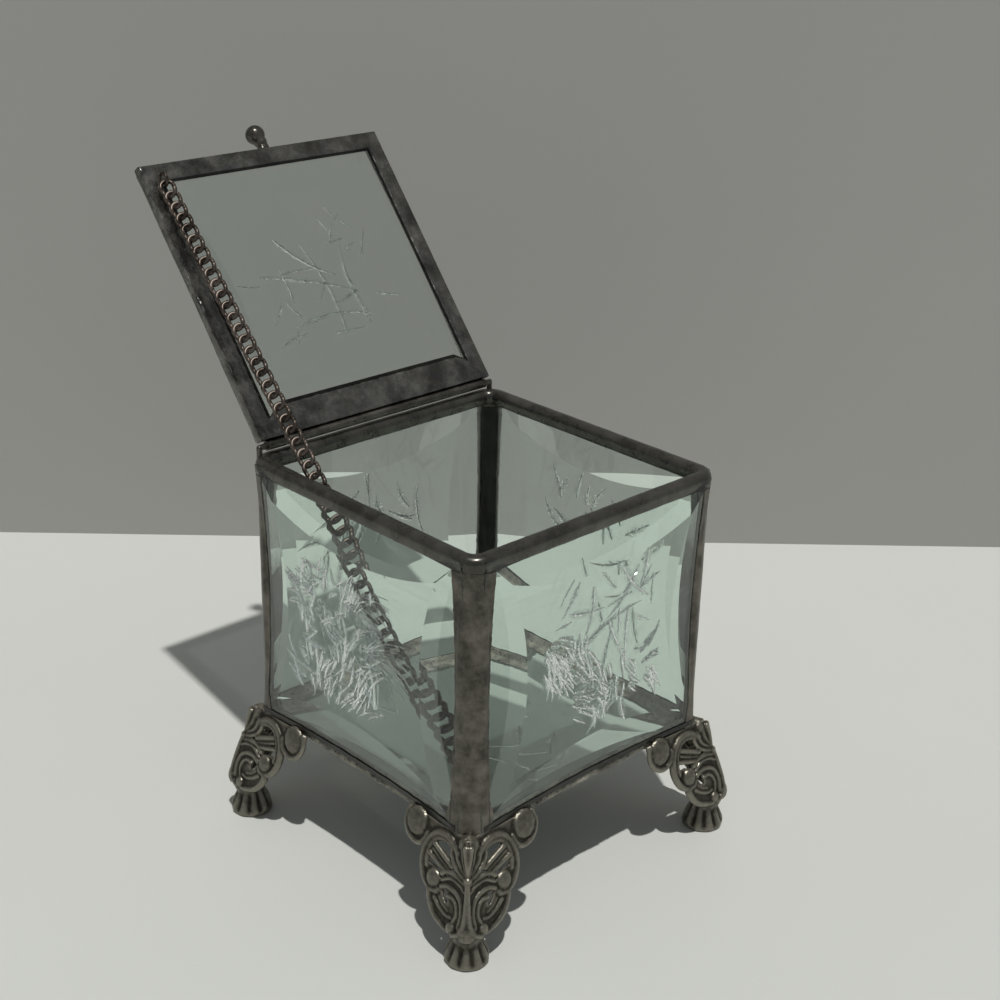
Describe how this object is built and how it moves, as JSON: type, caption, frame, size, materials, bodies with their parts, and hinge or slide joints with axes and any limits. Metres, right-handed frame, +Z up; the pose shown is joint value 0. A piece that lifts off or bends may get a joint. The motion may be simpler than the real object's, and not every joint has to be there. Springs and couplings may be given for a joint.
{
  "type": "glass keepsake box",
  "caption": "Square box of star-bevelled glass panes in dark soldered seams on cast scroll feet, with a knobbed hinged lid held open by a chain.",
  "frame": {"origin": "centre of the floor pane's inside face, which the contents rest on", "axes": "+Z up, front wall towards -Y, hinge wall towards +Y, chain corner towards -X"},
  "size_m": [0.0996, 0.1456, 0.1738],
  "materials": {
    "frosted_glass": "clear bevels round a star with frosted relief on its inside face",
    "frosted_lid_glass": "clear bevels round a star with fine frosted lines",
    "dark_solder": "dark patina, uneven, dull with worn grey patches",
    "rail_solder": "smooth dark patina, half glossy",
    "lid_solder": "hand-soldered, dark with silvery ripples",
    "cast_feet": "antiqued casting, brown-black in the hollows and worn grey on the ridges",
    "hinge_metal": "dark patina, worn bright on the outside",
    "chain_bronze": "dark bronze with bright rims"
  },
  "bodies": {
    "box": {"front_pane": "frosted_glass", "right_pane": "frosted_glass", "back_pane": "frosted_glass", "left_pane": "frosted_glass", "floor_pane": "frosted_glass", "corner_seam_front_left": "dark_solder", "corner_seam_front_right": "dark_solder", "corner_seam_back_right": "dark_solder", "corner_seam_back_left": "dark_solder", "top_rail_front": "rail_solder", "top_rail_right": "rail_solder", "top_rail_back": "rail_solder", "top_rail_left": "rail_solder", "base_seam_front": "dark_solder", "base_seam_right": "dark_solder", "base_seam_back": "dark_solder", "base_seam_left": "dark_solder", "foot_front_left": "cast_feet", "foot_front_right": "cast_feet", "foot_back_right": "cast_feet", "foot_back_left": "cast_feet", "hinge_rod": "hinge_metal", "box_chain_eye": "chain_bronze"},
    "lid": {"lid_pane": "frosted_lid_glass", "hinge_tube": "hinge_metal", "lid_border_front": "lid_solder", "lid_border_right": "lid_solder", "lid_border_back": "lid_solder", "lid_border_left": "lid_solder", "lid_knob": "lid_solder", "lid_chain_eye": "chain_bronze"},
    "chain_lower": {"chain_lower": "chain_bronze"},
    "chain_middle": {"chain_middle": "chain_bronze"},
    "chain_upper": {"chain_upper": "chain_bronze"}
  },
  "joints": [
    {"name": "lid_hinge", "type": "hinge", "parent": "box", "child": "lid", "pos_m": [0, 0.0398, 0.0733], "axis": [1, 0, 0], "range_deg": [0, 129.35]},
    {"name": "box_eye_swing", "type": "hinge", "parent": "box", "child": "chain_lower", "pos_m": [-0.0352, -0.0352, 0.01], "axis": [1, 0, 0], "range_deg": [-52.52, 0]},
    {"name": "chain_fold", "type": "hinge", "parent": "chain_lower", "child": "chain_middle", "pos_m": [-0.0352, 0.00628, 0.05644], "axis": [1, 0, 0], "range_deg": [0, 181.5]},
    {"name": "lid_eye_swing", "type": "hinge", "parent": "lid", "child": "chain_upper", "pos_m": [-0.0352, 0.08317, 0.13266], "axis": [1, 0, 0], "range_deg": [-82.37, 0]}
  ],
  "couplings": [
    {"joint": "box_eye_swing", "follows": "lid_hinge", "ratio": -0.40603},
    {"joint": "chain_fold", "follows": "lid_hinge", "ratio": 1.4032},
    {"joint": "lid_eye_swing", "follows": "lid_hinge", "ratio": -0.6368}
  ]
}
